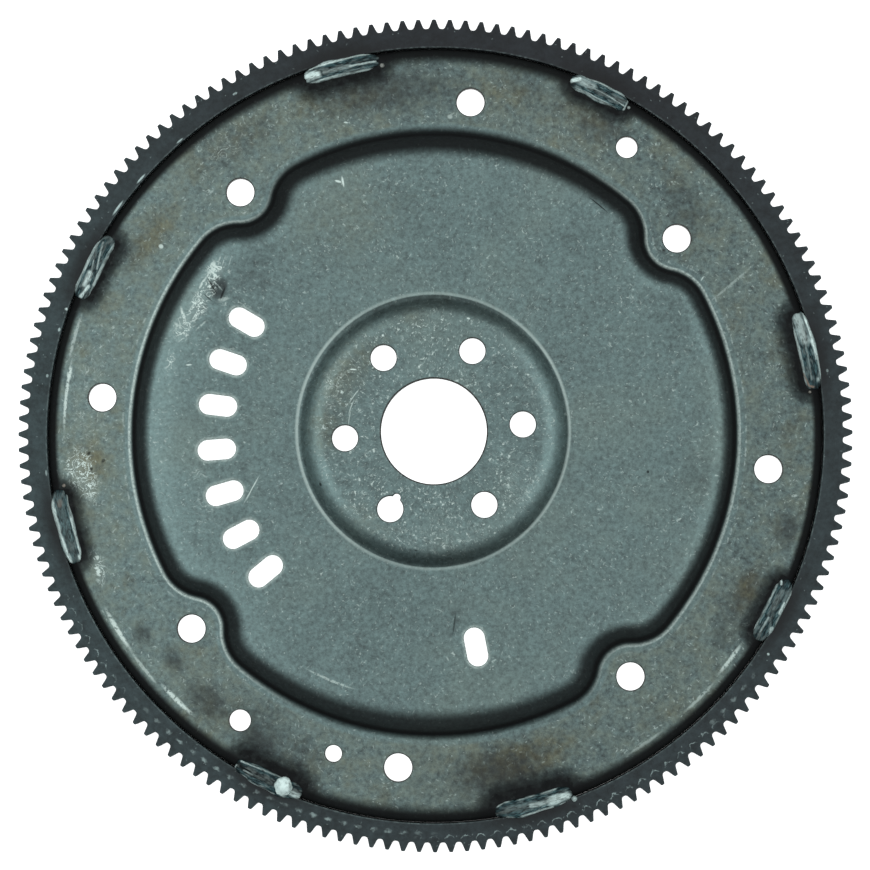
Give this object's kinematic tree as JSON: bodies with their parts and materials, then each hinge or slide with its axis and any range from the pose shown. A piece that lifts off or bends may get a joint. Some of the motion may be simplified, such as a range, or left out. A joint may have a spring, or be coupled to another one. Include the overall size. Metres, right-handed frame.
{
  "type": "flexplate",
  "caption": "Stamped steel flexplate for an automatic transmission, with raised hub, lobed web, bolt holes, radial slots and a welded starter ring gear.",
  "frame": {"origin": "the crankshaft axis at the back face of the ring gear, which is the lowest face as the part lies", "axes": "+Z along the crankshaft axis towards the engine, so the pictured side faces up; +X to the right and +Y to the top of the picture"},
  "size_m": [0.36, 0.36, 0.025],
  "materials": {
    "plate_steel": "bare drawn steel with a light oily film, satin, grey-green",
    "ring_steel": "dark heat-treated steel, satin, blue-black",
    "weld_metal": "as-laid weld bead, bright ridges and dark pits"
  },
  "bodies": {
    "root": {"flexplate": "plate_steel", "ring_gear": "ring_steel", "weld_1": "weld_metal", "weld_2": "weld_metal", "weld_3": "weld_metal", "weld_4": "weld_metal", "weld_5": "weld_metal", "weld_6": "weld_metal", "weld_7": "weld_metal", "weld_8": "weld_metal"}
  },
  "joints": []
}
